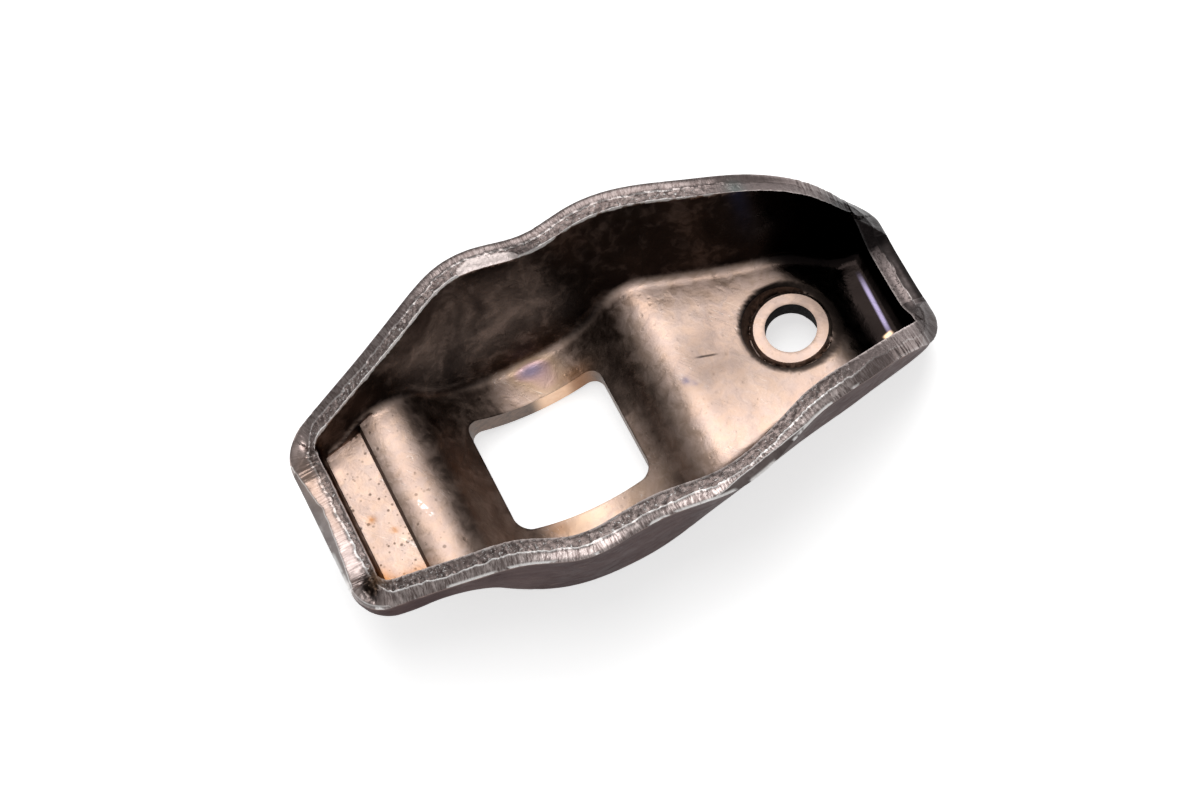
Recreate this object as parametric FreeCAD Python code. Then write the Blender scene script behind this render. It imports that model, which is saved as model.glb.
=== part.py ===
"""Pressed-steel rocker arm, open side up, lying as it comes to rest.

One piece of sheet steel, drawn into a boat-shaped trough in a press.
X runs along the arm from the valve end (-X) to the pushrod end (+X).
Y runs across it, along the axis of the fulcrum saddle.
The origin is on the surface it lies on, straight under the saddle axis.
All sizes are in millimetres.
"""
import FreeCAD, Part
import math
import os

# ---- Sheet and press tool -------------------------------------------------
sheet = 3.0                  # thickness of the sheet steel
bend_inside = 1.6            # inside radius between floor and walls
bend_outside = 3.3           # outside radius of the same bend

# ---- Plan outline, outer face ---------------------------------------------
valve_end_x = -31.5          # outer face of the wall at the valve end
valve_wall = 3.7             # that wall is upset in the press, thicker than the sheet
pushrod_end_x = 46.0         # outer face of the wall at the pushrod end
wall_top = 23.0              # height of the upper of the two plan outlines
valve_corner = 5.0           # plan radius of the two corners at the valve end
pushrod_corner = 3.4         # plan radius of the two corners at the pushrod end

# Stations along the side walls: x, half-width on the ground, half-width at
# wall_top, height of the sheared rim.
stations = [
    (valve_end_x, 11.2, 12.6, 14.4),
    (-23.5, 11.4, 15.3, 17.7),
    (-17.5, 12.4, 16.9, 19.8),
    (-11.5, 14.4, 18.7, 21.7),
    (-6.0, 15.5, 21.1, 21.9),
    (-0.5, 15.9, 21.3, 21.9),
    (5.5, 15.7, 20.9, 20.7),
    (11.5, 14.4, 21.9, 20.5),
    (18.5, 12.8, 21.1, 20.6),
    (26.0, 11.9, 18.1, 20.4),
    (33.5, 10.6, 16.6, 18.0),
    (39.5, 9.1, 15.6, 13.9),
    (43.0, 8.3, 15.2, 9.6),
    (pushrod_end_x, 7.2, 13.5, 7.0),
]
rim_slope = 10.0             # the sheared edge rises inward by this many degrees
valve_rim = 13.9             # rim height of the valve-end wall
pushrod_rim = 6.8            # rim height of the pushrod-end wall
valve_level = 7.0            # half-width of the level part of the valve-end rim
pushrod_level = 4.2          # half-width of the level part of the pushrod-end rim
rim_climb = 45.0             # climb of the end rims into the side rims, degrees

# ---- Floor, seen from the side --------------------------------------------
saddle_radius = 16.0         # fulcrum saddle, inside
saddle_floor = sheet         # height of the lowest line of the saddle
crown_radius = 7.0           # inside radius of the hump and of the crest
hump_top = 14.3              # height of the hump beside the valve pad
land_start = 12.6            # height of the coined land at the end wall
land_end = 12.7              # height of the land at the foot of the hump
land_edge_x = -22.2          # where the land meets the hump
land_step = 0.4              # length of the steep step up to the hump
land_inset = 0.5             # how far the coining punch stays off the walls
land_bend = 2.4              # inside radius at the foot of the hump before coining
pad_radius = 9.0             # convex pad that rubs on the valve stem
pad_low = 9.3                # height of the lowest line of that pad
crest_top = 9.1              # height of the crest between saddle and cup
deck_fall = 9.0              # fall of the deck toward the pushrod end, degrees
drop_x = 33.5                # where the deck breaks down into the end pocket
drop_fall = 33.0             # fall of that slope, degrees
pocket_floor = sheet         # floor of the end pocket: it lies on its underside
pocket_bend = 6.0            # inside radius between slope and pocket floor

# ---- Openings and the pushrod cup -----------------------------------------
slot_length = 17.6
slot_width = 16.1
slot_corner = 1.8
slot_x = -1.6                # centre of the slot
cup_x = 30.1                 # centre of the cup and of its hole
ring_radius = 5.0            # level ring around the hole
ring_top = 6.3               # height of the ring's face
ring_edge = 0.4              # broken upper edge of the ring
groove_depth = 0.6           # groove around the ring, below its face
groove_width = 0.15          # width of the groove's flat bottom
groove_flare = 20.0          # outer slope of the groove, degrees off upright
hole_radius = 3.2
hole_length = 3.1            # from the ring's face to the ball recess
ball_radius = 5.2            # spherical recess for the pushrod's ball end

margin = 20.0                # how far cutters run past the part
clearance = 1.0              # least distance kept between neighbouring points
density = 7.85e-3            # steel, grams per cubic millimetre


def point(x, z, y=0.0):
    return FreeCAD.Vector(x, y, z)


def side_curve(column):
    """Smooth curve of one column of the station table against x."""
    points = [FreeCAD.Vector(row[0], row[column], 0) for row in stations]
    curve = Part.BSplineCurve()
    curve.interpolate(Points=points, Parameters=[row[0] for row in stations])
    return curve


def half_width(curve, x, inset):
    """Half-width at x, moved inward by inset along the curve's normal."""
    slope = curve.tangent(x)[0]
    return curve.value(x).y - inset * math.hypot(slope.x, slope.y) / slope.x


def plan_outline(column, height, inset):
    """Closed plan outline at one height, inset from the outer face.

    At the valve end the inset grows with the thickness of that wall.
    """
    outer = side_curve(column)
    start = valve_end_x + inset * valve_wall / sheet
    end = pushrod_end_x - inset
    first = start + clearance
    last = end - clearance
    between = [row[0] for row in stations if first < row[0] < last]
    places = [start] + between + [end]
    far = [FreeCAD.Vector(x, half_width(outer, x, inset), height) for x in places]
    near = [FreeCAD.Vector(p.x, -p.y, p.z) for p in reversed(far)]
    edges = []
    for side, sense in ((far, 1), (near, -1)):
        curve = Part.BSplineCurve()
        curve.interpolate(Points=side, Parameters=[sense * p.x for p in side])
        edges.append(curve.toShape())
    right = Part.makeLine(far[-1], near[0])
    left = Part.makeLine(near[-1], far[0])
    return Part.Wire([edges[0], right, edges[1], left])


def trough_body(inset):
    """The walls' outer (inset 0) or inner (inset = sheet) shape as a solid."""
    low = plan_outline(1, 0.0, inset)
    high = plan_outline(2, wall_top, inset)
    body = Part.makeLoft([low, high], True, True)
    corners = {valve_corner: [], pushrod_corner: []}
    for edge in body.Edges:
        ends = [v.Point for v in edge.Vertexes]
        if abs(ends[0].z - ends[-1].z) > wall_top / 2:
            at_valve = ends[0].x < 0
            corners[valve_corner if at_valve else pushrod_corner].append(edge)
    for radius, edges in corners.items():
        if radius - inset > bend_inside:
            body = body.makeFillet(radius - inset, edges)
    return body


def above(x, z, radius, fall):
    """Point on a circle about (x, z) where the surface falls by fall degrees."""
    angle = math.radians(fall)
    return point(x + radius * math.sin(angle), z + radius * math.cos(angle))


def arc(start, centre_x, centre_z, radius, up, end):
    """Arc from start to end, past the top (up = 1) or bottom (up = -1)."""
    middle = (start + end) * 0.5 - point(centre_x, centre_z)
    if middle.Length < radius * 1e-3:
        middle = point(0, up)
    middle.normalize()
    return Part.Arc(start, point(centre_x, centre_z) + middle * radius, end).toShape()


def tangent(first, second, radius):
    """Point on the first circle toward the centre of the second."""
    reach = second - first
    reach.normalize()
    return first + reach * radius


def centres():
    """Centres of the saddle, the hump and the crest, shared by both faces."""
    saddle = point(0, saddle_floor + saddle_radius)
    reach = saddle_radius + crown_radius
    hump_z = hump_top - crown_radius
    crest_z = crest_top - crown_radius
    hump = point(-math.sqrt(reach ** 2 - (saddle.z - hump_z) ** 2), hump_z)
    crest = point(math.sqrt(reach ** 2 - (saddle.z - crest_z) ** 2), crest_z)
    return saddle, hump, crest


def deck_height(x):
    """Height of the deck's upper face at x."""
    start = above(centres()[2].x, centres()[2].z, crown_radius, deck_fall)
    return start.z - (x - start.x) * math.tan(math.radians(deck_fall))


def normal(fall):
    return above(0, 0, 1.0, fall)


def floor_profile(depth):
    """Edges of the floor from the hump's saddle side to the pushrod end.

    depth 0 gives the upper face, depth = sheet the underside.
    """
    saddle, hump, crest = centres()
    dished = saddle_radius + depth
    crowned = crown_radius - depth
    hump_foot = tangent(saddle, hump, dished)
    crest_foot = tangent(saddle, crest, dished)
    deck_start = above(crest.x, crest.z, crowned, deck_fall)
    level, steep = normal(0), normal(drop_fall)
    tilted = normal(deck_fall)
    corner = point(drop_x, deck_height(drop_x))
    drop = corner - (tilted + steep) * (crown_radius / (1 + tilted.dot(steep)))
    run = (corner.z - pocket_floor) / math.tan(math.radians(drop_fall))
    foot = point(drop_x + run, pocket_floor)
    pocket = foot + (steep + level) * (pocket_bend / (1 + steep.dot(level)))
    scooped = pocket_bend + depth
    line = [drop + tilted * crowned, drop + steep * crowned]
    line += [pocket - steep * scooped, pocket - level * scooped]
    edges = [
        arc(hump_foot, saddle.x, saddle.z, dished, -1, crest_foot),
        arc(crest_foot, crest.x, crest.z, crowned, 1, deck_start),
        Part.makeLine(deck_start, line[0]),
        arc(line[0], drop.x, drop.z, crowned, 1, line[1]),
        Part.makeLine(line[1], line[2]),
        arc(line[2], pocket.x, pocket.z, scooped, -1, line[3]),
        Part.makeLine(line[3], point(pushrod_end_x + margin, line[3].z)),
    ]
    return hump_foot, edges


def upper_face():
    """Edges of the drawn floor's upper face, before the land is coined."""
    hump = centres()[1]
    foot, edges = floor_profile(0.0)
    reach = crown_radius + land_bend
    bend_z = land_end + land_bend
    bend = point(hump.x - math.sqrt(reach ** 2 - (bend_z - hump.z) ** 2), bend_z)
    join = tangent(hump, bend, crown_radius)
    start = point(valve_end_x - margin, land_end)
    foot_of_bend = point(bend.x, land_end)
    lead = [Part.makeLine(start, foot_of_bend)]
    lead.append(arc(foot_of_bend, bend.x, bend.z, land_bend, -1, join))
    lead.append(arc(join, hump.x, hump.z, crown_radius, 1, foot))
    return start, lead + edges


def land_face():
    """Edges of the coined land and of the steep step up to the hump."""
    hump = centres()[1]
    rise = (land_end - land_start) / (land_edge_x - (valve_end_x + valve_wall))
    start_x = valve_end_x - margin
    start = point(start_x, land_end - rise * (land_edge_x - start_x))
    crease = point(land_edge_x, land_end)
    step_x = land_edge_x + land_step
    step = point(step_x, hump.z + math.sqrt(crown_radius ** 2 - (step_x - hump.x) ** 2))
    top = point(hump.x, hump_top)
    edges = [Part.makeLine(start, crease), Part.makeLine(crease, step)]
    edges.append(arc(step, hump.x, hump.z, crown_radius, 1, top))
    return start, edges


def under_face():
    """Edges of the underside: convex pad, hollow under the hump and the rest."""
    hump = centres()[1]
    hollow = crown_radius - sheet
    foot, edges = floor_profile(sheet)
    pad_z = pad_low + pad_radius
    pad_x = hump.x - math.sqrt((pad_radius + hollow) ** 2 - (pad_z - hump.z) ** 2)
    join = tangent(hump, point(pad_x, pad_z), hollow)
    start_x = valve_end_x - clearance
    start = point(start_x, pad_z - math.sqrt(pad_radius ** 2 - (start_x - pad_x) ** 2))
    lead = [arc(start, pad_x, pad_z, pad_radius, -1, join)]
    lead.append(arc(join, hump.x, hump.z, hollow, 1, foot))
    return start, lead + edges


def region_above(start, edges):
    """Everything above a floor profile, as a slab running across the part."""
    high = wall_top + margin
    last = edges[-1].Vertexes[-1].Point
    upper = [point(last.x, high), point(start.x, high)]
    sides = [Part.makeLine(last, upper[0])]
    sides.append(Part.makeLine(upper[0], upper[1]))
    sides.append(Part.makeLine(upper[1], start))
    face = Part.Face(Part.Wire(edges + sides))
    face.translate(point(0, 0, -high))
    return face.extrude(point(0, 0, 2 * high))


def round_floor(body, radius):
    """Round the edges where the floor of a body meets its ruled walls."""
    chosen = []
    for edge in body.Edges:
        faces = body.ancestorsOfType(edge, Part.Face)
        walls = [f for f in faces if isinstance(f.Surface, Part.BSplineSurface)]
        if len(walls) == 1 and edge.BoundBox.ZMax < wall_top - clearance:
            chosen.append(edge)
    return body.makeFillet(radius, chosen)


def rim_cutter(side):
    """All that lies above the sheared rim of one side wall (side = 1 or -1)."""
    lean = math.tan(math.radians(rim_slope))
    tops = []
    for x, ground, upper, rim in stations:
        out = ground + (upper - ground) * rim / wall_top
        tops.append(point(x, rim + out * lean))
    curve = Part.BSplineCurve()
    curve.interpolate(Points=tops)
    left = point(valve_end_x - margin, tops[0].z)
    right = point(pushrod_end_x + margin, tops[-1].z)
    edges = [Part.makeLine(left, tops[0]), curve.toShape()]
    edges.append(Part.makeLine(tops[-1], right))
    high = wall_top + margin
    edges.append(Part.makeLine(right, point(right.x, high)))
    edges.append(Part.makeLine(point(right.x, high), point(left.x, high)))
    edges.append(Part.makeLine(point(left.x, high), left))
    face = Part.Face(Part.Wire(edges))
    run = 2 * margin
    return face.extrude(FreeCAD.Vector(0, side * run, -run * lean))


def end_cutter(x, inward, rim, level):
    """Cut the wall at one end down to its own rim height.

    The cut is level for `level` mm each side of the middle. From there it
    climbs by rim_climb to meet the rims of the side walls.
    """
    rise = margin * math.tan(math.radians(rim_climb))
    foot = [point(x, rim, -level), point(x, rim, level)]
    head = [point(x, rim + rise, level + margin), point(x, rim + rise, -level - margin)]
    face = Part.Face(Part.makePolygon(foot + head + foot[:1]))
    face.translate(point(-inward * margin, 0))
    return face.extrude(point(inward * (margin + valve_wall), 0))


def fulcrum_slot():
    """Rounded rectangular slot through the saddle."""
    corner = FreeCAD.Vector(slot_x - slot_length / 2, -slot_width / 2, -margin)
    block = Part.makeBox(slot_length, slot_width, 2 * margin, corner)
    upright = [e for e in block.Edges if e.BoundBox.ZLength > margin]
    return block.makeFillet(slot_corner, upright)


def upright_cylinder(radius, low, high):
    return Part.makeCylinder(radius, high - low, point(cup_x, low))


def add_cup(body):
    """Raise the level ring, cut the groove around it, the hole and the seat."""
    groove = ring_top - groove_depth
    flat = ring_radius + groove_width
    high = crest_top - groove
    slope = flat + high * math.tan(math.radians(groove_flare))
    wide = Part.makeCone(flat, slope, high, point(cup_x, groove))
    ring = upright_cylinder(ring_radius, groove - groove_depth, ring_top)
    top = [e for e in ring.Edges if e.BoundBox.ZMin > ring_top - ring_edge]
    top = [e for e in top if e.BoundBox.ZLength < ring_edge]
    body = body.cut(wide)
    body = body.fuse(ring.makeChamfer(ring_edge, top))
    seat_z = ring_top - hole_length - math.sqrt(ball_radius ** 2 - hole_radius ** 2)
    body = body.cut(Part.makeSphere(ball_radius, point(cup_x, seat_z)))
    return body.cut(upright_cylinder(hole_radius, -margin, margin))


def rocker_arm():
    drawn = trough_body(0.0).common(region_above(*under_face()))
    drawn = round_floor(drawn, bend_outside)
    plug = trough_body(sheet).common(region_above(*upper_face()))
    plug = round_floor(plug, bend_inside)
    coin = trough_body(sheet + land_inset).common(region_above(*land_face()))
    body = drawn.cut(plug).cut(coin)
    for side in (1, -1):
        body = body.cut(rim_cutter(side))
    body = body.cut(end_cutter(valve_end_x, 1, valve_rim, valve_level))
    body = body.cut(end_cutter(pushrod_end_x, -1, pushrod_rim, pushrod_level))
    body = add_cup(body.cut(fulcrum_slot()))
    return body.removeSplitter()


arm = rocker_arm()
os.makedirs("parts", exist_ok=True)
arm.exportStep("parts/rocker_arm.step")
box = arm.optimalBoundingBox(False)
print("rocker_arm", len(arm.Solids), "solid, valid", arm.isValid())
print("size %.1f x %.1f x %.1f mm" % (box.XLength, box.YLength, box.ZLength))
print("mass %.1f g" % (arm.Volume * density))
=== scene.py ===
# %% [markdown]
# # A pressed-steel rocker arm
# The real part is one strip of steel, drawn in a press into a boat-shaped trough.
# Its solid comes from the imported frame. This scene gives it a finer skin, the marks
# that shearing and long use leave on such a part, and steel that looks handled,
# oiled and heated. The scene is in metres, in the frame's own axes: x runs from the
# valve end to the pushrod end, y runs across, and z points up out of the trough.
# Places and depths on the part are written in millimetres and multiplied by mm.

# %% Load the frame
import bpy
import bmesh
import math
import numpy as np
from mathutils import Matrix, Vector, kdtree, noise


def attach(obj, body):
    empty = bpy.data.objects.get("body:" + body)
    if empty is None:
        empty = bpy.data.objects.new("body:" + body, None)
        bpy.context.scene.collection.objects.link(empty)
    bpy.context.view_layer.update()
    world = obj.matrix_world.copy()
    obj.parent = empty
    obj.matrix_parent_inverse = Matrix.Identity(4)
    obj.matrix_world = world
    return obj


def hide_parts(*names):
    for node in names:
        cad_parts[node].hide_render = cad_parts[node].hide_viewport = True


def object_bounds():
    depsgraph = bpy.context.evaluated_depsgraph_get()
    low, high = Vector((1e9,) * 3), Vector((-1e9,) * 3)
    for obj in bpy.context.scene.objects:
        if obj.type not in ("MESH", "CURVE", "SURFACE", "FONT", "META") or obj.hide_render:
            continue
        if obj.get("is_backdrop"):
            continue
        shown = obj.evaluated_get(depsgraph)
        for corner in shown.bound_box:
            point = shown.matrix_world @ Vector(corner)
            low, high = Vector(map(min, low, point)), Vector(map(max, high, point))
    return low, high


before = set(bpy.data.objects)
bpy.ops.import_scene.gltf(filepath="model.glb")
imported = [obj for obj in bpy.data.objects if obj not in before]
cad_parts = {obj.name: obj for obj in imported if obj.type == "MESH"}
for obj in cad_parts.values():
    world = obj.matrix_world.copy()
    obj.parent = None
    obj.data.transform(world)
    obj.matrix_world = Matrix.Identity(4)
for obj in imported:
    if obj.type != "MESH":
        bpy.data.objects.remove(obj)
cad_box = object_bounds()
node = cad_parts["rocker_arm"]
mm = 0.001
print("CAD box, mm:", [round(v / mm, 1) for corner in cad_box for v in corner])

# %% [markdown]
# ## Camera
# The arm is seen from above, from the near side, with a long lens, as a small part
# is when it lies on a bench. Angles could place the camera too, but a rotation
# matrix built from the camera's own right, up and backward directions needs no
# order of turns to be remembered.

# %% Camera
CAMERA_PLACE = (-0.020537, -0.154866, 0.359552)
LENS_MM = 96.0
view_right = Vector((0.89156, -0.43437, -0.12816))
view_up = Vector((0.44787, 0.80366, 0.39182))
view_back = view_right.cross(view_up)

camera = bpy.data.objects.new("camera", bpy.data.cameras.new("camera"))
bpy.context.scene.collection.objects.link(camera)
bpy.context.scene.camera = camera
camera.data.lens = LENS_MM
camera.data.sensor_width = 36.0
camera.data.clip_start = 0.01
turn = Matrix((view_right, view_up, view_back)).transposed().to_4x4()
camera.matrix_world = Matrix.Translation(CAMERA_PLACE) @ turn
print("camera looks down by", round(math.degrees(math.asin(view_back.z)), 1), "degrees")

# %% [markdown]
# ## Bench and light
# A pale matt bench under a soft box. The box hangs above and behind the part, so
# upward faces reflect it toward the camera, and the steep sides of the saddle and
# the far wall reflect the dimmer room. The bench glows a little, as paper lit from
# below does, which keeps the shadow under the part faint.

# %% Bench
BENCH_HALF = 3.0
BENCH_WHITE = (0.9, 0.9, 0.9, 1.0)
BENCH_LOOK = {"Base Color": BENCH_WHITE, "Roughness": 0.8, "Specular IOR Level": 0.2,
              "Emission Color": BENCH_WHITE, "Emission Strength": 0.70}

matt = bpy.data.materials.new("bench_white")
matt.use_nodes = True
for name, value in BENCH_LOOK.items():
    matt.node_tree.nodes["Principled BSDF"].inputs[name].default_value = value

bench_mesh = bpy.data.meshes.new("bench")
sides = ((-1, -1), (1, -1), (1, 1), (-1, 1))
bench_mesh.from_pydata([(BENCH_HALF * u, BENCH_HALF * v, 0) for u, v in sides], [], [(0, 1, 2, 3)])
bench_mesh.materials.append(matt)
bench = bpy.data.objects.new("bench", bench_mesh)
bpy.context.scene.collection.objects.link(bench)
bench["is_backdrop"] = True
bpy.context.scene.view_settings.view_transform = "Standard"
print("bench:", 2 * BENCH_HALF, "m square")


# %% Lights
def soft_box(name, place, width, power):
    """A square lamp that looks at the middle of the part."""
    light = bpy.data.lights.new(name, "AREA")
    light.shape = "SQUARE"
    light.size = width
    light.energy = power
    lamp = bpy.data.objects.new(name, light)
    bpy.context.scene.collection.objects.link(lamp)
    turn = Vector(place).to_track_quat("Z", "Y").to_matrix().to_4x4()
    lamp.matrix_world = Matrix.Translation(place) @ turn


soft_box("key", place=(0.20, 0.38, 0.62), width=0.60, power=2.2)
soft_box("top", place=(0.0, 0.05, 0.85), width=0.35, power=1.0)

world = bpy.data.worlds.new("room")
bpy.context.scene.world = world
world.use_nodes = True
sky = world.node_tree
height = sky.nodes.new("ShaderNodeSeparateXYZ")
sky.links.new(sky.nodes.new("ShaderNodeTexCoord").outputs["Generated"], height.inputs[0])
dome = sky.nodes.new("ShaderNodeMapRange")
sky.links.new(height.outputs["Z"], dome.inputs["Value"])
for name, value in {"From Min": 0.0, "From Max": 0.8, "To Min": 0.12, "To Max": 0.42}.items():
    dome.inputs[name].default_value = value
sky.nodes["Background"].inputs["Color"].default_value = (1.0, 1.0, 1.0, 1.0)
sky.links.new(dome.outputs[0], sky.nodes["Background"].inputs["Strength"])
print("room: white above, dimmer toward the horizon")

# %% [markdown]
# ## A finer skin
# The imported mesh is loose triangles, large on flat faces and small in bends. Wear
# needs small even faces everywhere. A copy is merged and remeshed with the sharp
# mode of the Remesh modifier, which keeps the sheared edges crisp. A sculpted or
# hand-built mesh could do the same, but it would drift away from the real sizes.

# %% Skin
WELD = 0.002 * mm
OCTREE_DEPTH = 8
SKIN_SCALE = 0.78


def merged_copy(source):
    bm = bmesh.new()
    bm.from_mesh(source.data)
    bmesh.ops.remove_doubles(bm, verts=bm.verts, dist=WELD)
    mesh = bpy.data.meshes.new("skin")
    bm.to_mesh(mesh)
    bm.free()
    return mesh


def evaluated_mesh(thing):
    graph = bpy.context.evaluated_depsgraph_get()
    return bpy.data.meshes.new_from_object(thing.evaluated_get(graph), depsgraph=graph)


def show(name, mesh):
    thing = bpy.data.objects.new(name, mesh)
    bpy.context.scene.collection.objects.link(thing)
    return thing


rough = show("rough", merged_copy(node))
remesh = rough.modifiers.new("even faces", "REMESH")
remesh.mode = "SHARP"
remesh.octree_depth = OCTREE_DEPTH
remesh.scale = SKIN_SCALE
remesh.use_remove_disconnected = False
skin = evaluated_mesh(rough)
bpy.data.objects.remove(rough)
print("skin:", len(skin.polygons), "faces")

# %% [markdown]
# ## Which face is what
# A press leaves three kinds of surface: the outside, the inside, and the sheared
# rim between them. No sharp edge runs across any of them, so each is found by
# walking from face to face and stopping at sharp edges. Small regions are left over:
# flat ones that look up were coined, and the others are the walls of the slot and of
# the hole. The rim gets finer faces, because most marks are on it.

# %% Regions of the skin
OUTSIDE, INSIDE, RIM, COINED, BORE = range(5)
SHARP_ANGLE = math.radians(32)
LOOKS_UP = 0.45


def regions(bm):
    """Groups of faces that no sharp edge divides, largest first."""
    seen = set()
    found = []
    for first in bm.faces:
        if first in seen:
            continue
        seen.add(first)
        group = [first]
        for face in group:
            for edge in face.edges:
                if edge.calc_face_angle(math.pi) > SHARP_ANGLE:
                    continue
                for other in edge.link_faces:
                    if other not in seen:
                        seen.add(other)
                        group.append(other)
        found.append(group)
    return sorted(found, key=len, reverse=True)


def kind_of(group, outside):
    """What a small region is, from where it looks and what it touches."""
    touches = any(other in outside for f in group for e in f.edges for other in e.link_faces)
    up = sum(face.normal.z for face in group) / len(group)
    if up < LOOKS_UP:
        return BORE
    return RIM if touches else COINED


bm = bmesh.new()
bm.from_mesh(skin)
knots = [edge for edge in bm.edges if len(edge.link_faces) != 2]
bmesh.ops.collapse(bm, edges=knots)
bm.normal_update()
zone = bm.faces.layers.int.new("zone")
groups = regions(bm)
outside = set(groups[0])
for number, group in enumerate(groups):
    kind = (OUTSIDE, INSIDE)[number] if number < 2 else kind_of(group, outside)
    for face in group:
        face[zone] = kind
rim_faces = [face for face in bm.faces if face[zone] == RIM]
print("regions:", len(groups), "rim faces:", len(rim_faces))

# %% Finer rim
rim_edges = list({edge for face in rim_faces for edge in face.edges})
bmesh.ops.subdivide_edges(bm, edges=rim_edges, cuts=1, use_grid_fill=True)
bmesh.ops.triangulate(bm, faces=[face for face in bm.faces if len(face.verts) > 4])
bm.normal_update()
bm.verts.index_update()


def border(first, second):
    """Numbers of the vertices where two zones meet."""
    found = set()
    for edge in bm.edges:
        kinds = {face[zone] for face in edge.link_faces}
        if first in kinds and second in kinds:
            found.update(vertex.index for vertex in edge.verts)
    return np.array(sorted(found))


outer_lip = border(OUTSIDE, RIM)
inner_lip = border(INSIDE, RIM)
sharp_verts = set()
for edge in bm.edges:
    zones = {face[zone] for face in edge.link_faces}
    if len(zones) > 1 or (zones != {RIM} and edge.calc_face_angle(math.pi) > SHARP_ANGLE):
        sharp_verts.update(vertex.index for vertex in edge.verts)
bm.to_mesh(skin)
bm.free()
print("faces:", len(skin.polygons), "lips:", len(outer_lip), len(inner_lip))

# %% [markdown]
# ## Fairing
# Bends cut from flat facets would glint in stripes, so each vertex moves a little
# toward the middle of its neighbours. Vertices on sharp edges stay where they are.
# A second step in the other direction keeps round shapes from shrinking. The Smooth
# modifier does something like it, but it can't hold the sharp edges.

# %% Fair the bends
FAIRING_ROUNDS = 8
FAIRING_PUSHES = (0.5, -0.52)
count = len(skin.vertices)


def read_points(mesh):
    flat = np.empty(len(mesh.vertices) * 3, np.float32)
    mesh.vertices.foreach_get("co", flat)
    return flat.reshape(-1, 3).astype(float)


pairs = np.empty(len(skin.edges) * 2, np.int32)
skin.edges.foreach_get("vertices", pairs)
pairs = pairs.reshape(-1, 2)


def neighbour_mean(values, links):
    """Mean of the values at the far ends of the edges that meet at each vertex."""
    total = np.zeros_like(values)
    degree = np.zeros(count)
    for here, there in (links.T, links.T[::-1]):
        degree += np.bincount(here, minlength=count)
        for column in range(values.shape[1]):
            total[:, column] += np.bincount(here, values[there, column], count)
    return total / np.maximum(degree, 1)[:, None]


points = read_points(skin)
free = np.ones((count, 1))
free[list(sharp_verts)] = 0.0
for step in range(FAIRING_ROUNDS):
    for push in FAIRING_PUSHES:
        points += push * free * (neighbour_mean(points, pairs) - points)
most = np.abs(points - read_points(skin)).max() / mm
print("fairing moved points by up to", round(most, 3), "mm")

# %% [markdown]
# ## Places on the rim
# Every mark of the shears is a line along the rim, so the rim needs its own two
# directions: how far along it a point is, and how far across, from 0 at the outer
# lip to 1 at the inner one. Distances to the two lips give the second. The first
# is the length walked round the outer lip. That lip is a closed loop, so its length
# is bent into a flat ring, and a pattern read from the ring has no seam.

# %% Lips
def tree_of(numbers):
    tree = kdtree.KDTree(len(numbers))
    for number in numbers:
        tree.insert(points[number], int(number))
    tree.balance()
    return tree


def distances(tree, where):
    """Distance in mm to the nearest point of a tree, and which point that is."""
    found = [tree.find(point) for point in where]
    return np.array([hit[2] for hit in found]) / mm, np.array([hit[1] for hit in found])


def lap(numbers):
    """Length in mm walked round a closed loop of vertices, and the whole length."""
    middle = points[numbers].mean(axis=0)
    turn = np.arctan2(points[numbers, 1] - middle[1], points[numbers, 0] - middle[0])
    order = numbers[np.argsort(turn)]
    loop = np.append(order, order[0])
    steps = np.linalg.norm(np.diff(points[loop], axis=0), axis=1) / mm
    walked = np.zeros(count)
    walked[order] = np.cumsum(steps) - steps
    return walked, steps.sum()


walked, round_length = lap(outer_lip)
from_outer, nearest_outer = distances(tree_of(outer_lip), points)
from_inner, nearest_inner = distances(tree_of(inner_lip), points)
across = from_outer / (from_outer + from_inner)
turn = walked[nearest_outer] / round_length * math.tau
ring = np.stack([np.cos(turn), np.sin(turn)], axis=1) * round_length / math.tau

on_rim = np.zeros(count, bool)
face_zone = np.empty(len(skin.polygons), np.int32)
skin.attributes["zone"].data.foreach_get("value", face_zone)
for polygon, kind in zip(skin.polygons, face_zone):
    if kind == RIM:
        on_rim[list(polygon.vertices)] = True
print("rim is", round(round_length, 1), "mm round and has", int(on_rim.sum()), "vertices")

# %% [markdown]
# ## Easing the corners
# The rim of each end wall climbs to the side rims. On the real part the shears ran
# round these corners in one sweep, so the climb has no kink. Only heights change
# here, first along the two lips and then on the faces beside them.

# %% Ease the corners
EVENING_ROUNDS = 140
LIP_REACH = 2.8
x, y, z = (points / mm).T
valve_x = cad_box[0].x / mm
pushrod_x = cad_box[1].x / mm


def ramp(value, start, end):
    """0 before start, 1 after end, smooth between."""
    share = np.clip((value - start) / (end - start), 0.0, 1.0)
    return share * share * (3 - 2 * share)


pushrod_climb = (1 - ramp(pushrod_x - x, 6.0, 8.0)) * ramp(abs(y), 1.5, 3.0)
valve_climb = (1 - ramp(x - valve_x, 5.0, 7.0)) * ramp(abs(y), 4.0, 5.5)


def evened(numbers):
    """How much each vertex of a lip rises when the lip's heights are evened out."""
    member = np.zeros(count, bool)
    member[numbers] = True
    links = pairs[member[pairs].all(axis=1)]
    free = (np.maximum(pushrod_climb, valve_climb) * member)[:, None]
    heights = z[:, None].copy()
    for step in range(EVENING_ROUNDS):
        heights += 0.5 * free * (neighbour_mean(heights, links) - heights)
    return heights[:, 0] - z


rise_outer = evened(outer_lip)[nearest_outer]
rise_inner = evened(inner_lip)[nearest_inner]
fade_outer = np.clip(1 - from_outer / LIP_REACH, 0, 1) ** 2
fade_inner = np.clip(1 - from_inner / LIP_REACH, 0, 1) ** 2
eased = np.where(on_rim, (1 - across) * rise_outer + across * rise_inner,
                 fade_outer * rise_outer + fade_inner * rise_inner)
points[:, 2] += eased * mm
print("corners eased by", round(eased.min(), 2), "to", round(eased.max(), 2), "mm")

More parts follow.
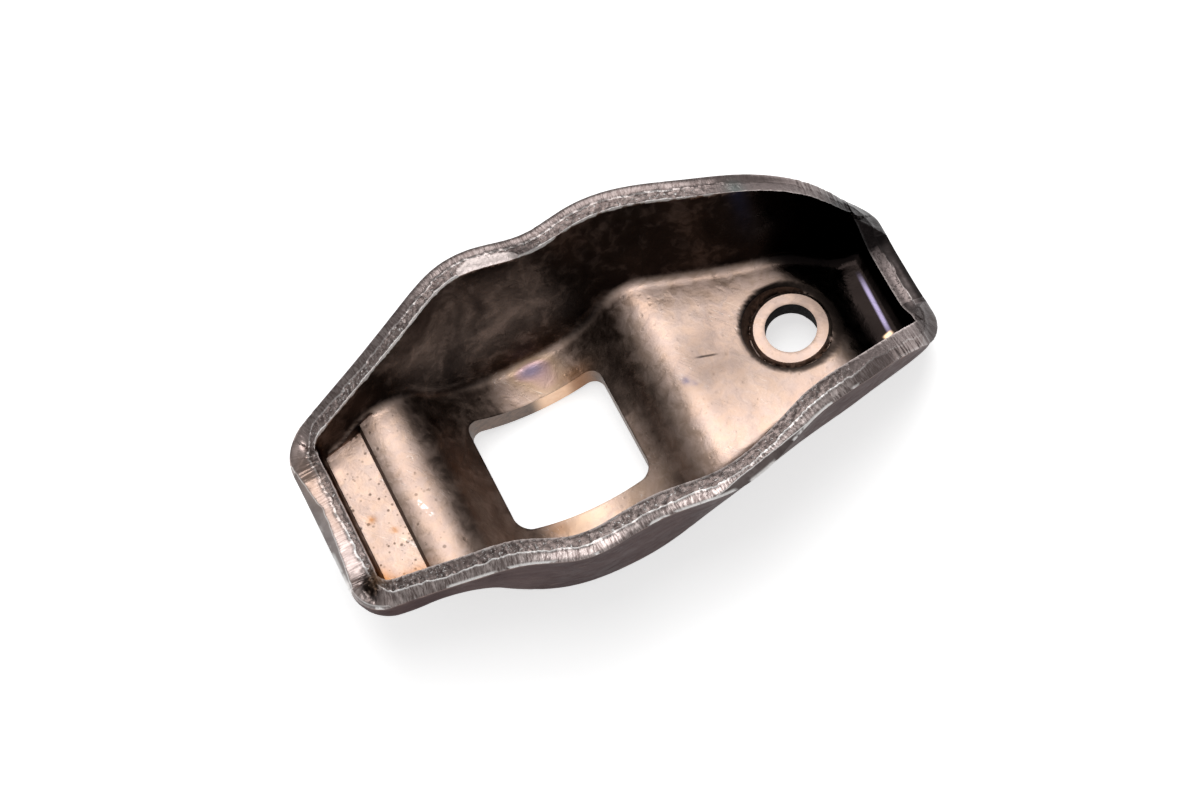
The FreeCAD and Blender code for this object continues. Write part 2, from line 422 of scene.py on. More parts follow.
# %% [markdown]
# ## Sheared edge
# Shears first cut cleanly, which leaves a smooth band beside the outer lip, and then
# the rest of the sheet tears, which leaves a rough band with a burr at its end. The
# line between the two bands wanders. It is worked out here once, and both the shape
# and the finish use it. A bump map alone could roughen the edge, but it would leave
# the outline smooth, so the torn band is real shape.

# %% Chance along the rim
def wander(pitch, row):
    """Smooth chance along the rim: one hump about every pitch mm."""
    return np.array([noise.noise(Vector((u / pitch, v / pitch, row))) for u, v in ring])


def grain(where, pitch, seed):
    """Smooth chance in space, for the points of the skin given by a mask."""
    result = np.zeros(count)
    for number in np.flatnonzero(where):
        place = points[number] / (pitch * mm)
        result[number] = noise.noise(Vector(place) + Vector((seed, seed, seed)))
    return result


def bump(value, start, end, soft):
    """1 between start and end, fading to 0 over soft on each side."""
    return ramp(value, start - soft, start) * (1 - ramp(value, end, end + soft))


# %% Fracture line
SHEET = 3.0
valve_end = 1 - ramp(x - valve_x, 2.6, 5.0)
pushrod_end = 1 - ramp(pushrod_x - x, 2.0, 4.5)
line = 0.5 + 0.10 * wander(9.0, 1.0) + 0.07 * wander(2.2, 2.0)
line += 0.05 * wander(0.7, 3.0) + 0.03 * wander(0.35, 13.0)
line = np.clip(line + 0.26 * valve_end, 0.12, 0.85)
band = (across - line) * SHEET
calm = np.where(y > 0, ramp(x, 22.0, 33.0), ramp(x, 28.0, 37.0))
torn = ramp(band, -0.05, 0.12) * on_rim * (1 - 0.8 * calm)
print("smooth band covers", round(100 * line[on_rim].mean()), "% of the rim's width")

# %% [markdown]
# ## Rolled lip
# Hits from outside have rolled the outer lip over: along the end wall at the valve,
# beside the deck on the near side, and at the pushrod end. A roll takes a share of
# the rim's width, so it is a third band, with its own border.

# %% Rolled lip
kink = ramp(y, 3.3, 4.3)
roll_valve = 0.10 + 0.26 * ramp(y, -10.5, 3.5) * (1 - ramp(y, 3.0, 11.5)) - 0.07 * kink
roll_valve *= valve_end
roll_near = 0.36 * np.clip((x - 10.0) / 4.5, 0, 1) * (1 - ramp(x, 17.0, 27.0)) * (y < 0)
roll_share = roll_valve + roll_near + 0.5 * pushrod_end
roll_share *= 1 + 0.10 * wander(0.9, 21.0)
rolls = ramp(roll_share, 0.01, 0.08)
roll_share = np.clip(roll_share, 0.02, 0.6)
rolled = np.clip(1 - across / roll_share, 0, 1) * on_rim * rolls
roll_band = (across - roll_share) * SHEET + 2.0 * (1 - rolls)
print("rolled:", round(100 * (rolled > 0).sum() / on_rim.sum()), "% of the rim's vertices")

# %% Marks of the shears
TORN_DEPTH, TEAR_DEPTH, CHIP_DEPTH = 0.12, 0.13, 0.08
RIDGE_HEIGHT = 0.06
BURR_HEIGHT = 0.16
STREAK_DEPTH = 0.018

tear = grain(on_rim, 0.55, 5.0)
chips = grain(on_rim, 0.23, 9.0)
lift = -torn * (TORN_DEPTH + TEAR_DEPTH * tear + CHIP_DEPTH * chips)
lift += RIDGE_HEIGHT * on_rim * np.exp(-((band + 0.05) / 0.14) ** 2)
burr = np.clip(0.75 + 0.8 * wander(1.3, 7.0) + 0.3 * wander(0.4, 8.0), 0, 1.3)
burr *= np.where(y > 0, 1.0, 0.4)
lift += BURR_HEIGHT * on_rim * burr * ramp(across, 0.90, 1.0)
lift += STREAK_DEPTH * on_rim * (1 - torn) * wander(0.35, 11.0)
print("shears: marks from", round(lift.min(), 2), "to", round(lift.max(), 2), "mm")

# %% [markdown]
# ## Blows
# The edge also took single knocks: a crescent-shaped chip broken out of the far
# inner lip, a gouge and a nick at the corners of the valve end. Each is a soft hollow
# with its own place and depth. All marks are added up first and the mesh is moved
# once, straight down, so no face can fold over its neighbour.

# %% Blows
CHIP_OUT_DEPTH = 0.75
GOUGE_DEPTH = 0.55
NICK_DEPTH = 0.6


def sunk(depth, distance, reach):
    """Depth that fades away from a lip, without folding the wall below it."""
    return depth * np.clip(1 - distance / reach, 0, 1) ** 2


def spots(*each):
    """Sum of soft spots, each given as strength, x, y and its two radii, in mm."""
    return sum(strength * np.exp(-(((x - middle_x) / radius_x) ** 2
                                   + ((y - middle_y) / radius_y) ** 2))
               for strength, middle_x, middle_y, radius_x, radius_y in each)


lift -= sunk(0.08, from_outer, np.where(on_rim, 0.5, 2.6))
roll_drop = 0.55 * pushrod_end + 2.1 * (roll_valve + 0.55 * roll_near)
lift -= np.where(on_rim, roll_drop * rolled, sunk(roll_drop, from_outer, LIP_REACH))

crescent = np.clip(1 - ((x - 0.2) / 3.8) ** 2, 0, 1) ** 0.35 * (y > 0)
chip_reach = np.maximum(1.5 * crescent * (1 + 0.3 * wander(0.9, 4.0)), 0.01)
chipped = np.clip(1 - from_inner / chip_reach, 0, 1) * on_rim
chip_depth = CHIP_OUT_DEPTH * crescent
lift += torn * (TORN_DEPTH + TEAR_DEPTH * tear) * ramp(chipped, 0.0, 0.3)
lift -= np.where(on_rim, chip_depth * chipped ** 1.5, sunk(chip_depth, from_inner, LIP_REACH))

near_rim = np.where(on_rim, 1.0, sunk(1.0, np.minimum(from_outer, from_inner), 2.2))
gouge = spots((1.0, valve_x + 2.5, -9.2, 1.1, 2.0)) * near_rim
nick = spots((1.0, valve_x + 3.2, 10.6, 0.7, 0.8)) * near_rim
lift -= GOUGE_DEPTH * gouge * (0.6 + 0.8 * tear) + NICK_DEPTH * nick

points[:, 2] += lift * mm
skin.vertices.foreach_set("co", points.astype(np.float32).ravel())
skin.update()
print("all marks from", round(lift.min(), 2), "to", round(lift.max(), 2), "mm")

# %% [markdown]
# ## Where the finish differs
# Use polishes the pads, the strips, the deck and the crest, oil burns onto the drawn
# walls, and heat tints the two strips beside the slot. Painted light is mixed in: the
# deck's bare steel changes in brightness across its width and the crest is lighter
# still, as painted highlight, and the deck and the ring's face fade toward the pushrod
# end, as painted shade. Each of these is a soft map on the skin's points, made from
# place and slope, for the materials to read. Painted textures could hold the same, but
# a map on the points needs no picture and no unwrapping.

# %% Bare steel and painted light
CUP_X = 30.1
normals = np.empty(count * 3, np.float32)
skin.vertex_normals.foreach_get("vector", normals)
normals = normals.reshape(-1, 3).astype(float)
level = ramp(normals[:, 2], 0.45, 0.98)
steep = 1 - ramp(normals[:, 2], 0.25, 0.75)
# Faces that look sideways across the part count as steep too, so the bends at the foot of the walls
# get the dark wall colour as painted shade.
steep = np.maximum(steep, ramp(abs(normals[:, 1]), 0.2, 0.55))

pad = (1 - ramp(x, -20.0, -14.0)) * (1.25 - 0.40 * ramp(x, -22.4, -21.8))
# Painted light on the deck: its bare steel changes in brightness across its width, is lighter along
# the crest as a painted highlight, and fades toward the pushrod end as painted shade.
deck_wear_and_painted_light = ramp(x, 9.0, 15.0) * (1 - ramp(x + 0.3 * y, 31.5, 35.5))
deck_wear_and_painted_light *= (0.42 + 0.58 * (1 - ramp(y, -11.0, -1.0)) + 0.45 * ramp(y, 1.0, 7.0)
         + 0.25 * bump(x, 12.5, 15.5, 2.5))
strips = np.where(y < 0, 1.1 * bump(x, -6.0, 6.5, 3.5), bump(x, -3.0, 3.5, 3.5))

from_cup = np.hypot(x - CUP_X, y)
# The ring's face fades toward its right side, as painted shade.
ring_face_and_painted_shade = (1 - ramp(from_cup, 5.1, 5.5)) * (1 - 0.9 * ramp(x + 0.5 * y, 29.5, 36.0))
# The groove round the ring carries painted shadow, strongest on the side away from the light.
shaded_groove = bump(from_cup, 5.35, 6.0, 0.5)
shaded_side = 0.5 + 0.5 * (0.87 * y - 0.5 * (x - CUP_X)) / np.maximum(from_cup, 0.1)
bare_and_painted_light = np.maximum(level * (pad + deck_wear_and_painted_light + strips) * (1 - shaded_groove), 0.78 * level * ring_face_and_painted_shade)
print("bare steel on", round(100 * (bare_and_painted_light > 0.5).mean()), "% of the vertices")

# %% Heat, rust, oil, painted shade and painted highlights
heat = spots((1.0, -0.2, 12.1, 2.4, 1.1), (0.6, 1.2, 9.9, 2.9, 2.3),
             (0.4, -4.0, -9.4, 3.0, 2.2), (0.25, 4.0, -9.4, 4.5, 2.2))
rust = spots((1.0, -25.5, -0.6, 0.45, 0.45), (1.0, -23.6, -3.1, 0.35, 0.35),
             (0.9, -27.2, -8.4, 1.1, 1.5), (0.8, -24.4, -9.4, 2.8, 0.9),
             (0.6, 4.6, 8.6, 2.0, 1.3), (0.5, -6.0, -9.0, 1.6, 1.2),
             (0.55, valve_x + 1.5, 6.6, 1.1, 3.0), (0.4, valve_x + 1.9, 1.0, 0.7, 2.6))
blue = spots((1.1, 15.5, -1.2, 0.5, 0.5), (0.7, 16.3, -2.0, 0.35, 0.35),
             (0.8, 30.8, 13.6, 1.1, 1.5))
# The pushrod-end pocket is painted near black: burnt oil, with painted shade where the deck's light
# ends, reaching further along the far side.
oil_and_shade = ramp(x + 0.6 * np.clip(y - 3.0, 0.0, 5.0), 33.8, 37.0) * (x < 44.5)
bore = from_cup < 4.5

# Painted shade: the pushrod end of the rim is painted dark except for a painted lit patch, and so
# are a far corner of the rim, a stretch of the far rim and the inner face of the valve-end wall.
painted_lit_patch = bump(y, -4.0, 0.5, 2.4) * bump(across, 0.35, 0.65, 0.2)
painted_shade = pushrod_end * (0.85 - 0.85 * painted_lit_patch)
painted_shade = np.maximum(painted_shade, spots((1.6, 43.8, 7.5, 4.6, 5.2))) * on_rim
painted_shade = np.maximum(painted_shade, 0.95 * (1 - ramp(x, -27.6, -27.0)) * steep * ~on_rim)
painted_shade = np.maximum(painted_shade, 0.6 * bump(x, 3.6, 6.2, 1.0) * ramp(across, 0.2, 0.5) * (y > 0) * on_rim)

# The burr along the inner lip is painted bright, as a painted highlight.
burr_highlight = burr * (1 - calm) * (1 - 0.9 * valve_end) * (1 - crescent)
burr_highlight *= np.where(on_rim, ramp(across, 0.84, 0.97), 1 - np.clip(from_inner / 0.48, 0, 1))
print("rust on", int((rust > 0.5).sum()), "vertices, oil on", int((oil_and_shade > 0.5).sum()))

# %% Store the maps
# The maps for the bare steel, the groove, the oil, the burr and the dark rim also carry painted
# light and shade.
maps = {
    "ring_u": ring[:, 0], "ring_v": ring[:, 1], "across": across,
    "band": band, "roll_band": roll_band, "calm": calm, "valve": valve_end,
    "far": ramp(y, -4.0, 4.0), "lip": np.exp(-from_outer / 0.25), "burr": burr_highlight,
    "chip": ramp(chipped, 0.0, 0.06), "gouge": 1.7 * gouge,
    "bare_and_painted_light": bare_and_painted_light, "pad": pad, "steep": steep * (1 - ramp(heat, 0.1, 0.4)),
    "shaded_groove": shaded_groove * (0.5 + 0.5 * shaded_side), "tint": heat, "rust": rust, "blue": blue,
    "oil_and_shade": oil_and_shade, "bore": bore, "painted_shade": painted_shade,
}
for name, values in maps.items():
    layer = skin.attributes.new(name, "FLOAT", "POINT")
    layer.data.foreach_set("value", np.asarray(values, np.float32))
print("maps:", ", ".join(maps))

# %% [markdown]
# ## Tools for materials
# Materials are node trees. One helper adds a node and joins or sets its inputs. The
# others cover the steps that come again and again: a sum, a product, a mix of two
# colours, colours laid over each other, a soft step, and a map read from the skin.

# %% Node helpers
def put(tree, kind, inputs=(), **settings):
    """A new node. An input given as a socket is joined, and any other value is set."""
    item = tree.nodes.new(kind)
    for name, value in settings.items():
        setattr(item, name, value)
    for name, value in dict(inputs).items():
        if isinstance(value, bpy.types.NodeSocket):
            tree.links.new(value, item.inputs[name])
        else:
            item.inputs[name].default_value = value
    return item


def calc(tree, operation, first, second=0.0, clamp=False):
    """One sum on two values, kept between 0 and 1 where clamp is set."""
    inputs = {0: first, 1: second}
    return put(tree, "ShaderNodeMath", inputs, operation=operation, use_clamp=clamp).outputs[0]


def times(tree, first, *others):
    """A value multiplied by one or more others."""
    for other in others:
        first = calc(tree, "MULTIPLY", first, other)
    return first


def shade(tree, share, first, second):
    """The first colour, turning into the second as share goes from 0 to 1."""
    return put(tree, "ShaderNodeMix", {0: share, 6: first, 7: second}, data_type="RGBA").outputs[2]


def layered(tree, colour, layers):
    """A colour with others laid over it in turn, each where its share says."""
    for share, over in layers:
        colour = shade(tree, share, colour, over)
    return colour


def rise(tree, value, start, end):
    """0 up to start, 1 from end on, smooth between."""
    inputs = {"Value": value, "From Min": start, "From Max": end}
    return put(tree, "ShaderNodeMapRange", inputs, interpolation_type="SMOOTHSTEP").outputs[0]


def read(tree, name):
    return put(tree, "ShaderNodeAttribute", attribute_name=name).outputs["Fac"]


def humps(tree, where, per_mm, detail, roughness=0.5):
    """Noise with about so many humps in each millimetre."""
    return put(tree, "ShaderNodeTexNoise", {
        "Vector": where, "Scale": per_mm / mm, "Detail": detail, "Roughness": roughness,
    }).outputs["Fac"]


# %% [markdown]
# ## Shared patterns
# Four patterns come back in the finishes: clouds of uneven oxide, specks where the
# surface is pitted, fine scratches, and one mark at a given place. Each is a node
# group with its sizes as inputs, so one pattern serves all the materials with
# different numbers.

# %% Group helpers
def new_group(name, inputs, output):
    """An empty shader group with named inputs (name: default) and one float output."""
    tree = bpy.data.node_groups.new(name, "ShaderNodeTree")
    for label, default in inputs.items():
        kind = "NodeSocketVector" if default is None else "NodeSocketFloat"
        socket = tree.interface.new_socket(label, in_out="INPUT", socket_type=kind)
        if default is not None:
            socket.default_value = default
    tree.interface.new_socket(output, in_out="OUTPUT", socket_type="NodeSocketFloat")
    given = tree.nodes.new("NodeGroupInput").outputs
    return tree, given, tree.nodes.new("NodeGroupOutput").inputs[output]


def per_pitch(tree, pitch):
    """Texture scale for a pattern whose humps are pitch mm apart."""
    return calc(tree, "DIVIDE", 1.0 / mm, pitch)


def pattern(tree, group, **inputs):
    """A group placed in a material, with its inputs given by name."""
    item = tree.nodes.new("ShaderNodeGroup")
    item.node_tree = group
    for name, value in inputs.items():
        socket = item.inputs[name.capitalize()]
        if isinstance(value, bpy.types.NodeSocket):
            tree.links.new(value, socket)
        else:
            socket.default_value = value
    return item.outputs[0]


# %% Clouds
clouds, given, result = new_group(
    "oxide_clouds", {"Place": None, "Pitch": 6.0, "Detail": 4.0}, "Amount")
cloud = put(clouds, "ShaderNodeTexNoise", {
    "Vector": given["Place"], "Scale": per_pitch(clouds, given["Pitch"]),
    "Detail": given["Detail"], "Roughness": 0.6, "Distortion": 0.6})
clouds.links.new(rise(clouds, cloud.outputs["Fac"], 0.3, 0.7), result)
print(clouds.name, "has", len(clouds.nodes), "nodes")

# %% Specks
specks, given, result = new_group(
    "specks", {"Place": None, "Pitch": 0.8, "Size": 0.35, "Share": 0.4}, "Mask")
dots = put(specks, "ShaderNodeTexVoronoi", {
    "Vector": given["Place"], "Scale": per_pitch(specks, given["Pitch"])})
chance = put(specks, "ShaderNodeSeparateColor", {0: dots.outputs["Color"]})
kept = calc(specks, "LESS_THAN", chance.outputs[0], given["Share"])
radius = times(specks, chance.outputs[1], given["Size"])
inner = calc(specks, "DIVIDE", dots.outputs["Distance"], radius)
specks.links.new(times(specks, kept, rise(specks, inner, 1.2, 0.5)), result)
print(specks.name, "has", len(specks.nodes), "nodes")

# %% Scratches
scratch, given, result = new_group(
    "scratches", {"Place": None, "Angle": 0.0, "Pitch": 0.5, "Length": 9.0, "Share": 0.5}, "Mask")
turned = put(scratch, "ShaderNodeVectorRotate", {"Vector": given["Place"], "Angle": given["Angle"]})
parts = put(scratch, "ShaderNodeSeparateXYZ", {0: turned.outputs[0]})
long_way = calc(scratch, "DIVIDE", parts.outputs[0], given["Length"])
stretched = put(scratch, "ShaderNodeCombineXYZ", {
    0: long_way, 1: parts.outputs[1], 2: parts.outputs[2]})
lines = put(scratch, "ShaderNodeTexNoise", {
    "Vector": stretched.outputs[0], "Scale": per_pitch(scratch, given["Pitch"]), "Detail": 1.0})
hair = calc(scratch, "ABSOLUTE", calc(scratch, "SUBTRACT", lines.outputs["Fac"], 0.5))
patch = humps(scratch, given["Place"], 0.2, 2.0)
patchy = rise(scratch, patch, calc(scratch, "SUBTRACT", 0.85, given["Share"]), 0.85)
scratch.links.new(times(scratch, rise(scratch, hair, 0.012, 0.0), patchy), result)
print(scratch.name, "has", len(scratch.nodes), "nodes")

# %% One mark
marks, given, result = new_group(
    "single_mark",
    {"Place": None, "X": 0.0, "Y": 0.0, "Angle": 0.0, "Length": 2.0, "Width": 0.3}, "Mask")
parts = put(marks, "ShaderNodeSeparateXYZ", {0: given["Place"]})
shifted = put(marks, "ShaderNodeCombineXYZ", {
    0: calc(marks, "SUBTRACT", times(marks, parts.outputs[0], 1 / mm), given["X"]),
    1: calc(marks, "SUBTRACT", times(marks, parts.outputs[1], 1 / mm), given["Y"])})
turned = put(marks, "ShaderNodeVectorRotate", {
    "Vector": shifted.outputs[0], "Angle": times(marks, given["Angle"], -1.0)})
parts = put(marks, "ShaderNodeSeparateXYZ", {0: turned.outputs[0]})
lengthwise = calc(marks, "DIVIDE", calc(marks, "ABSOLUTE", parts.outputs[0]), given["Length"])
sideways = calc(marks, "DIVIDE", calc(marks, "ABSOLUTE", parts.outputs[1]), given["Width"])
within = times(marks, rise(marks, lengthwise, 0.5, 0.15), rise(marks, sideways, 0.5, 0.1))
marks.links.new(within, result)
print(marks.name, "has", len(marks.nodes), "nodes")

# %% [markdown]
# ## Steel, finish by finish
# Bare steel is a mirror with a slight warm tint. Oxide, old oil and heat take light
# away and change its tint, so each finish is one metal whose colour and roughness
# follow the maps. The colour does most of the work, and the bump adds a fine grain.
# A dark specular tint keeps walls seen at a low angle from turning into mirrors, as
# burnt oil does on the real part.

# %% Start a steel
SCALE_BROWN = (0.085, 0.060, 0.048, 1.0)
SCALE_BLACK = (0.026, 0.018, 0.016, 1.0)
BARE_TAN = (0.60, 0.43, 0.335, 1.0)
BARE_PINK = (0.72, 0.555, 0.485, 1.0)
BRIGHT = (1.0, 0.97, 0.95, 1.0)
STRAW = (0.86, 0.58, 0.36, 1.0)
ORANGE = (0.50, 0.20, 0.05, 1.0)


def steel(name):
    """A new metal with its tree, its shader and the place on the part, in metres."""
    material = bpy.data.materials.new(name)
    material.use_nodes = True
    tree = material.node_tree
    shader = tree.nodes["Principled BSDF"]
    shader.inputs["Metallic"].default_value = 1.0
    return material, tree, shader, put(tree, "ShaderNodeTexCoord").outputs["Object"]


def finish(material, joins, height, depth):
    """Joins values to the shader, and a height of depth mm to its normal."""
    tree = material.node_tree
    lifted = put(tree, "ShaderNodeBump", {"Height": height, "Distance": depth * mm})
    for name, value in {**joins, "Normal": lifted.outputs[0]}.items():
        tree.links.new(value, tree.nodes["Principled BSDF"].inputs[name])
    print(material.name, "is done, with", len(tree.nodes), "nodes")


# %% [markdown]
# ## Inside of the trough
# The floor carries a thin brown oxide that use has rubbed off the pads, the strips and
# the deck, and the bare steel carries the painted light of its map. The drawn walls
# kept their dark scale, and the walls and the bends that look sideways are painted
# darker with it, as painted shade. One picture for the whole inside would be simpler,
# but layers that each follow one map can be changed one by one, in the order in which
# they came onto the steel.

# %% Inside: oxide, bare steel, painted light and painted shade
FLOOR_OXIDE = (0.14, 0.10, 0.082, 1.0), (0.26, 0.19, 0.155, 1.0)
WALL_OXIDE_AND_SHADE = (0.036, 0.027, 0.024, 1.0), (0.085, 0.063, 0.053, 1.0)

inside_steel, tree, shader, place = steel("drawn_inside")
shader.inputs["Specular Tint"].default_value = (0.45, 0.40, 0.38, 1.0)
big = pattern(tree, clouds, place=place, pitch=7.0)
small = pattern(tree, clouds, place=place, pitch=1.6)
uneven = times(tree, calc(tree, "SUBTRACT", calc(tree, "ADD", big, small), 1.0), 0.17)
worn_and_painted_light = calc(tree, "ADD", read(tree, "bare_and_painted_light"), uneven, clamp=True)
floor_oxide = shade(tree, big, *FLOOR_OXIDE)
wall_oxide_and_shade = shade(tree, big, *WALL_OXIDE_AND_SHADE)
oxide = shade(tree, read(tree, "steep"), floor_oxide, wall_oxide_and_shade)
colour = shade(tree, worn_and_painted_light, oxide, shade(tree, small, BARE_TAN, BARE_PINK))
print("inside: oxide and bare steel,", len(tree.nodes), "nodes")

# %% Inside: stains, pits and a score
STAIN = (0.40, 0.25, 0.19, 1.0)
PIT = (0.13, 0.085, 0.06, 1.0)
GROOVE_PAINTED_SHADE = (0.014, 0.010, 0.009, 1.0)

stains = pattern(tree, clouds, place=place, pitch=4.4)
clustered = pattern(tree, clouds, place=place, pitch=3.0)
speck = pattern(tree, specks, place=place, pitch=0.85, size=0.34, share=0.45)
dust = pattern(tree, specks, place=place, pitch=0.48, size=0.42, share=0.60)
pitted = calc(tree, "ADD", speck, times(tree, dust, clustered), clamp=True)
on_pads = calc(tree, "ADD", times(tree, read(tree, "pad"), 0.6), 0.1, clamp=True)
score = pattern(tree, marks, place=place, x=19.2, y=0.7, angle=-0.25, length=3.8, width=0.45)
colour = layered(tree, colour, [
    (times(tree, stains, worn_and_painted_light, 0.30), STAIN),
    (times(tree, pitted, on_pads), PIT),
    # Painted shadow in the groove round the ring.
    (read(tree, "shaded_groove"), GROOVE_PAINTED_SHADE),
    (times(tree, score, 0.85), SCALE_BLACK),
])
print("inside: stains, pits and a score,", len(tree.nodes), "nodes")

# %% Inside: heat, rust, oil and painted shade
PINK = (0.80, 0.53, 0.54, 1.0)
PURPLE = (0.44, 0.36, 0.52, 1.0)
INK = (0.04, 0.06, 0.16, 1.0)
BURNT_OIL_AND_SHADE = (0.008, 0.006, 0.006, 1.0)
PAINTED_SHADE = (0.012, 0.009, 0.008, 1.0)

heated = read(tree, "tint")
tinted = rise(tree, heated, 0.0, 0.6)
oiled_and_shaded = read(tree, "oil_and_shade")
colour = layered(tree, colour, [
    (times(tree, tinted, 0.7), STRAW),
    (times(tree, rise(tree, heated, 0.35, 0.75), 0.85), PINK),
    (times(tree, rise(tree, heated, 0.6, 1.25), 0.95), PURPLE),
    (times(tree, read(tree, "rust"), 0.9), ORANGE),
    (times(tree, read(tree, "blue"), 0.6), INK),
    # Burnt oil and painted shade in the pushrod-end pocket.
    (times(tree, oiled_and_shaded, 0.96), BURNT_OIL_AND_SHADE),
    # Painted shade on the inner face of the valve-end wall.
    (read(tree, "painted_shade"), PAINTED_SHADE),
])
print("inside: heat, rust and oil,", len(tree.nodes), "nodes")

# %% Inside: bright places and painted highlights
PAINTED_GLEAM_VIOLET = (0.42, 0.36, 0.56, 1.0)

# A painted highlight: a thin violet gleam along the floor of the pushrod-end pocket.
painted_gleam = pattern(tree, marks, place=place, x=41.0, y=-1.0, angle=1.53, length=11.0, width=0.85)
tan_spot = pattern(tree, marks, place=place, x=40.5, y=-5.2, angle=0.3, length=1.7, width=0.9)
# A painted highlight: a shiny streak across the hump, broken up by noise.
painted_hump_streak = pattern(tree, marks, place=place, x=-19.3, y=-3.0, angle=1.9, length=3.6, width=0.8)
painted_hump_streak = times(tree, painted_hump_streak, rise(tree, humps(tree, place, 1.6, 2.0), 0.48, 0.58))
hairs = pattern(tree, scratch, place=place, angle=0.9, pitch=0.7, length=14.0, share=0.45)
# Painted highlight along the burr.
painted_burr_shine = rise(tree, read(tree, "burr"), 0.25, 0.55)
colour = layered(tree, colour, [
    (times(tree, painted_gleam, 0.55), PAINTED_GLEAM_VIOLET),
    (tan_spot, STRAW),
    (painted_hump_streak, BRIGHT),
    (painted_burr_shine, BRIGHT),
    (times(tree, hairs, worn_and_painted_light, 0.5), BRIGHT),
])
print("inside: bright places,", len(tree.nodes), "nodes")

# %% Inside: gloss and grain
rough = calc(tree, "ADD", 0.30, times(tree, small, 0.18))
rough = calc(tree, "SUBTRACT", rough, times(tree, oiled_and_shaded, 0.22), clamp=True)
rough = calc(tree, "ADD", rough, times(tree, read(tree, "shaded_groove"), 0.4), clamp=True)
dull = calc(tree, "MAXIMUM", times(tree, tinted, 0.6), painted_burr_shine)
metallic = calc(tree, "SUBTRACT", 1.0, times(tree, dull, 0.8), clamp=True)
fine = humps(tree, place, 3.0, 3.0)
relief = calc(tree, "SUBTRACT", calc(tree, "ADD", fine, small), calc(tree, "ADD", speck, hairs))
finish(inside_steel, {"Base Color": colour, "Roughness": rough, "Metallic": metallic},
       relief, depth=0.012)

# %% [markdown]
# ## Outside of the trough
# The die rubbed the outside smoother and darker than the inside, and handling left
# long scratches and a brighter edge at the lip. It has the same layers as the inside,
# with larger clouds and fewer specks.

# %% Outside of the trough
OUTER_OXIDE = (0.055, 0.042, 0.044, 1.0), (0.125, 0.098, 0.097, 1.0)
OUTER_HAZE = (0.17, 0.135, 0.13, 1.0)

outside_steel, tree, shader, place = steel("drawn_outside")
shader.inputs["Specular Tint"].default_value = (0.42, 0.38, 0.38, 1.0)
big = pattern(tree, clouds, place=place, pitch=9.0)
small = pattern(tree, clouds, place=place, pitch=1.8)
speck = pattern(tree, specks, place=place, pitch=1.1, size=0.3, share=0.3)
hairs = pattern(tree, scratch, place=place, angle=0.3, pitch=0.8, length=16.0, share=0.5)
edge = times(tree, read(tree, "lip"), calc(tree, "ADD", 0.2, small), 0.7)
colour = layered(tree, shade(tree, big, *OUTER_OXIDE), [
    (times(tree, small, 0.35), OUTER_HAZE),
    (times(tree, speck, 0.5), SCALE_BROWN),
    (times(tree, hairs, 0.45), BARE_PINK),
    (edge, BARE_PINK),
])
rough = calc(tree, "ADD", 0.30, times(tree, small, 0.16))
fine = humps(tree, place, 2.5, 3.0)
relief = calc(tree, "SUBTRACT", calc(tree, "ADD", fine, small), calc(tree, "ADD", speck, hairs))
finish(outside_steel, {"Base Color": colour, "Roughness": rough}, relief, depth=0.012)

# %% [markdown]
# ## Sheared rim
# The rim shows how the sheet was cut. The smooth band is combed across by the blade,
# and the torn band has dark grains with painted glints on them. Painted highlights run
# along the line between the two bands, the outer lip, the edge of each rolled lip and
# the burr. Rolled lips are smeared dull, and the chip is clean metal, painted bright as
# a highlight. Straight stripes on Object coordinates would cross the rim at a slant at
# its bends, so the combing reads the ring, which follows the rim all the way round.

# %% Rim: smooth band
COMBED = (0.24, 0.188, 0.178, 1.0), (0.80, 0.69, 0.66, 1.0)
SMOOTH_STAIN = (0.17, 0.13, 0.12, 1.0)
VALVE_END_METAL = (0.74, 0.59, 0.55, 1.0)

rim_steel, tree, shader, place = steel("sheared_rim")
edgewise = put(tree, "ShaderNodeCombineXYZ", {
    0: times(tree, read(tree, "ring_u"), mm),
    1: times(tree, read(tree, "ring_v"), mm),
    2: times(tree, read(tree, "across"), 0.5 * mm)}).outputs[0]
streak = humps(tree, edgewise, 5.0, 3.0)
patchwork = pattern(tree, clouds, place=place, pitch=2.4)
lively = calc(tree, "SUBTRACT", 1.0, times(tree, read(tree, "calm"), 0.85), clamp=True)
valve = read(tree, "valve")
far = read(tree, "far")
near_more = calc(tree, "SUBTRACT", 1.0, times(tree, far, 0.55))
combed = times(tree, rise(tree, streak, 0.35, 0.65), lively, near_more)
smooth_band = layered(tree, shade(tree, combed, *COMBED), [
    (times(tree, patchwork, 0.5), SMOOTH_STAIN),
    (times(tree, valve, 0.4), VALVE_END_METAL),
])
print("rim: smooth band,", len(tree.nodes), "nodes")

# %% Rim: torn band
TORN_DARK = (0.10, 0.075, 0.070, 1.0), (0.05, 0.038, 0.035, 1.0)
TORN_GRAIN = (0.40, 0.33, 0.31, 1.0)
TORN_STAIN = (0.27, 0.21, 0.195, 1.0)
TORN_CALM = (0.30, 0.245, 0.235, 1.0)

small = pattern(tree, clouds, place=place, pitch=0.6)
# Painted glints on the grains of the torn band.
sparkle = rise(tree, humps(tree, place, 2.6, 4.0, roughness=0.7), 0.57, 0.63)
stained = pattern(tree, clouds, place=place, pitch=5.0)
torn_band = layered(tree, shade(tree, valve, *TORN_DARK), [
    (small, TORN_GRAIN),
    (times(tree, sparkle, lively, 0.9), BRIGHT),
    (times(tree, stained, 0.6), TORN_STAIN),
    (read(tree, "calm"), TORN_CALM),
])
band = read(tree, "band")
on_torn = rise(tree, band, 0.0, 0.1)
colour = shade(tree, rise(tree, band, -0.03, 0.08), smooth_band, torn_band)
print("rim: torn band,", len(tree.nodes), "nodes")

